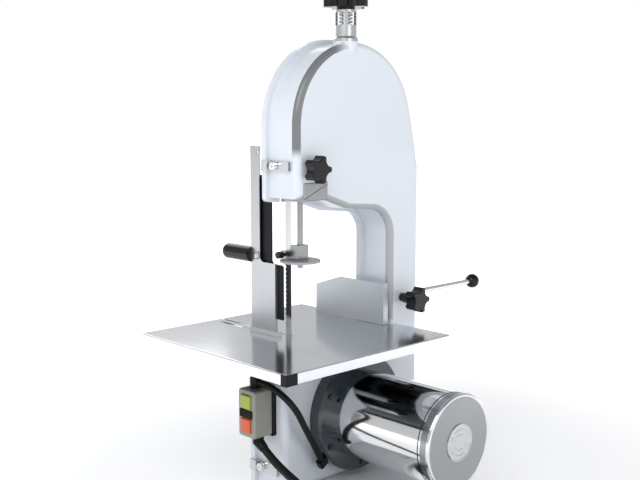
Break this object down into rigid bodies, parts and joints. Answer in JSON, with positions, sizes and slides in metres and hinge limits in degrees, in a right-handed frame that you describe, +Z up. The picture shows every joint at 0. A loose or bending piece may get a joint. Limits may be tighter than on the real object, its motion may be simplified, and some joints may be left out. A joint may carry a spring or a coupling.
{
  "type": "bone saw",
  "caption": "Table-top band saw for meat and bone with doors, stainless table, pusher, fence, blade guide and tension knob.",
  "frame": {"origin": "centre of the four base holes, on the surface that the feet stand on", "axes": "+Z up, +X from the cutting run of the blade towards the column, +Y towards the doors; the motor is on the -Y side"},
  "size_m": [0.6725, 0.563, 0.895],
  "materials": {
    "white_paint": "smooth powder coat",
    "base_paint": "smooth powder coat",
    "grey_paint": "satin",
    "flange_paint": "gloss enamel",
    "stainless": "fine brushed",
    "plate_steel": "brushed",
    "blade_steel": "ground",
    "bright_steel": "polished",
    "aluminium": "turned",
    "black_oxide": "black oxide",
    "cast_iron": "machined",
    "black_knob": "moulded gloss",
    "black_nylon": "matt",
    "black_rubber": "matt",
    "switch_grey": "satin moulded",
    "button_green": "moulded",
    "button_red": "moulded"
  },
  "bodies": {
    "frame": {"base_plate": "base_paint", "rubber_feet": "black_rubber", "body_casting": "white_paint", "frame_screws": "black_oxide", "upper_frame": "white_paint", "lower_frame": "white_paint", "door_hinges": "bright_steel", "frame_clamps": "aluminium", "blade": "blade_steel", "tension_tower": "aluminium", "disc_springs": "plate_steel", "motor_flange": "flange_paint", "motor_shell": "bright_steel", "motor_end_cap": "aluminium", "motor_stator": "cast_iron", "motor_bearings": "bright_steel", "table_top": "stainless", "table_rails": "plate_steel", "lower_guide": "plate_steel", "guide_clamp": "grey_paint", "fence_supports": "aluminium", "switch_back_plate": "black_nylon", "switch_box": "switch_grey", "cable_glands": "black_nylon", "motor_cable": "black_rubber", "mains_lead": "black_rubber", "mains_coil": "black_rubber", "mains_plug": "black_nylon"},
    "upper_door": {"upper_door": "white_paint", "upper_door_grip": "black_knob"},
    "lower_door": {"lower_door": "white_paint", "lower_door_grip": "black_knob"},
    "upper_clamp_knob": {"upper_clamp_knob": "bright_steel"},
    "lower_clamp_knob": {"lower_clamp_knob": "bright_steel"},
    "wheel_carrier": {"wheel_carrier": "cast_iron", "upper_axle": "bright_steel", "axle_nut": "bright_steel"},
    "upper_wheel": {"upper_wheel": "cast_iron", "upper_bearings": "bright_steel"},
    "drive": {"lower_wheel": "cast_iron", "motor_shaft": "bright_steel", "wheel_nut": "bright_steel"},
    "tension": {"tension_screw": "bright_steel", "tension_knob": "black_knob"},
    "guide": {"guide_post": "bright_steel", "guide_plate": "grey_paint", "guide_bracket": "plate_steel", "guide_blocks": "bright_steel", "guide_screws": "black_knob"},
    "guide_lock": {"guide_lock_knob": "black_knob"},
    "fence": {"fence_plate": "plate_steel", "fence_rod": "bright_steel", "fence_ball": "black_knob"},
    "fence_lock": {"fence_lock_knob": "black_knob"},
    "pusher": {"pusher_face": "plate_steel", "pusher_plate": "black_nylon", "pusher_handle": "black_knob", "pusher_foot": "bright_steel"},
    "start_button": {"start_button": "button_green"},
    "stop_button": {"stop_button": "button_red"}
  },
  "joints": [
    {"name": "upper_door_hinge", "type": "hinge", "parent": "frame", "child": "upper_door", "pos_m": [0.162, 0.1, 0.45], "axis": [0, 0, -1], "range_deg": [0, 110]},
    {"name": "lower_door_hinge", "type": "hinge", "parent": "frame", "child": "lower_door", "pos_m": [0.162, 0.1, 0.16], "axis": [0, 0, -1], "range_deg": [0, 110]},
    {"name": "carrier_slide", "type": "slide", "parent": "frame", "child": "wheel_carrier", "axis": [0, 0, 1], "range_m": [-0.008, 0]},
    {"name": "upper_wheel_spin", "type": "hinge", "parent": "wheel_carrier", "child": "upper_wheel", "pos_m": [-0.008, 0.07, 0.649], "axis": [0, 1, 0], "continuous": true},
    {"name": "drive_spin", "type": "hinge", "parent": "frame", "child": "drive", "pos_m": [-0.008, 0, 0.154], "axis": [0, 1, 0], "continuous": true},
    {"name": "tension_turn", "type": "hinge", "parent": "frame", "child": "tension", "pos_m": [-0.008, 0.035, 0.88], "axis": [0, 0, 1], "range_deg": [0, 1440]},
    {"name": "guide_slide", "type": "slide", "parent": "frame", "child": "guide", "axis": [0, 0, 1], "range_m": [0, 0.072]},
    {"name": "guide_lock_turn", "type": "hinge", "parent": "frame", "child": "guide_lock", "pos_m": [-0.112, 0, 0.595], "axis": [0, 1, 0], "range_deg": [0, 360]},
    {"name": "fence_slide", "type": "slide", "parent": "frame", "child": "fence", "axis": [1, 0, 0], "range_m": [-0.17, 0]},
    {"name": "fence_lock_turn", "type": "hinge", "parent": "frame", "child": "fence_lock", "pos_m": [0.124, 0, 0.345], "axis": [0, 1, 0], "range_deg": [0, 360]},
    {"name": "pusher_slide", "type": "slide", "parent": "frame", "child": "pusher", "axis": [0, 1, 0], "range_m": [0, 0.11]},
    {"name": "upper_clamp_turn", "type": "hinge", "parent": "frame", "child": "upper_clamp_knob", "pos_m": [-0.15, 0.066, 0.6], "axis": [-1, 0, 0], "range_deg": [0, 360]},
    {"name": "lower_clamp_turn", "type": "hinge", "parent": "frame", "child": "lower_clamp_knob", "pos_m": [-0.18, 0.07, 0.076], "axis": [-1, 0, 0], "range_deg": [0, 360]},
    {"name": "start_press", "type": "slide", "parent": "frame", "child": "start_button", "axis": [1, 0, 0], "range_m": [0, 0.004], "stiffness_N_per_m": 500},
    {"name": "stop_press", "type": "slide", "parent": "frame", "child": "stop_button", "axis": [1, 0, 0], "range_m": [0, 0.004], "stiffness_N_per_m": 500}
  ],
  "couplings": [
    {"joint": "upper_wheel_spin", "follows": "drive_spin", "ratio": 1},
    {"joint": "tension_turn", "follows": "carrier_slide", "rad_per_m": -3141.6}
  ]
}
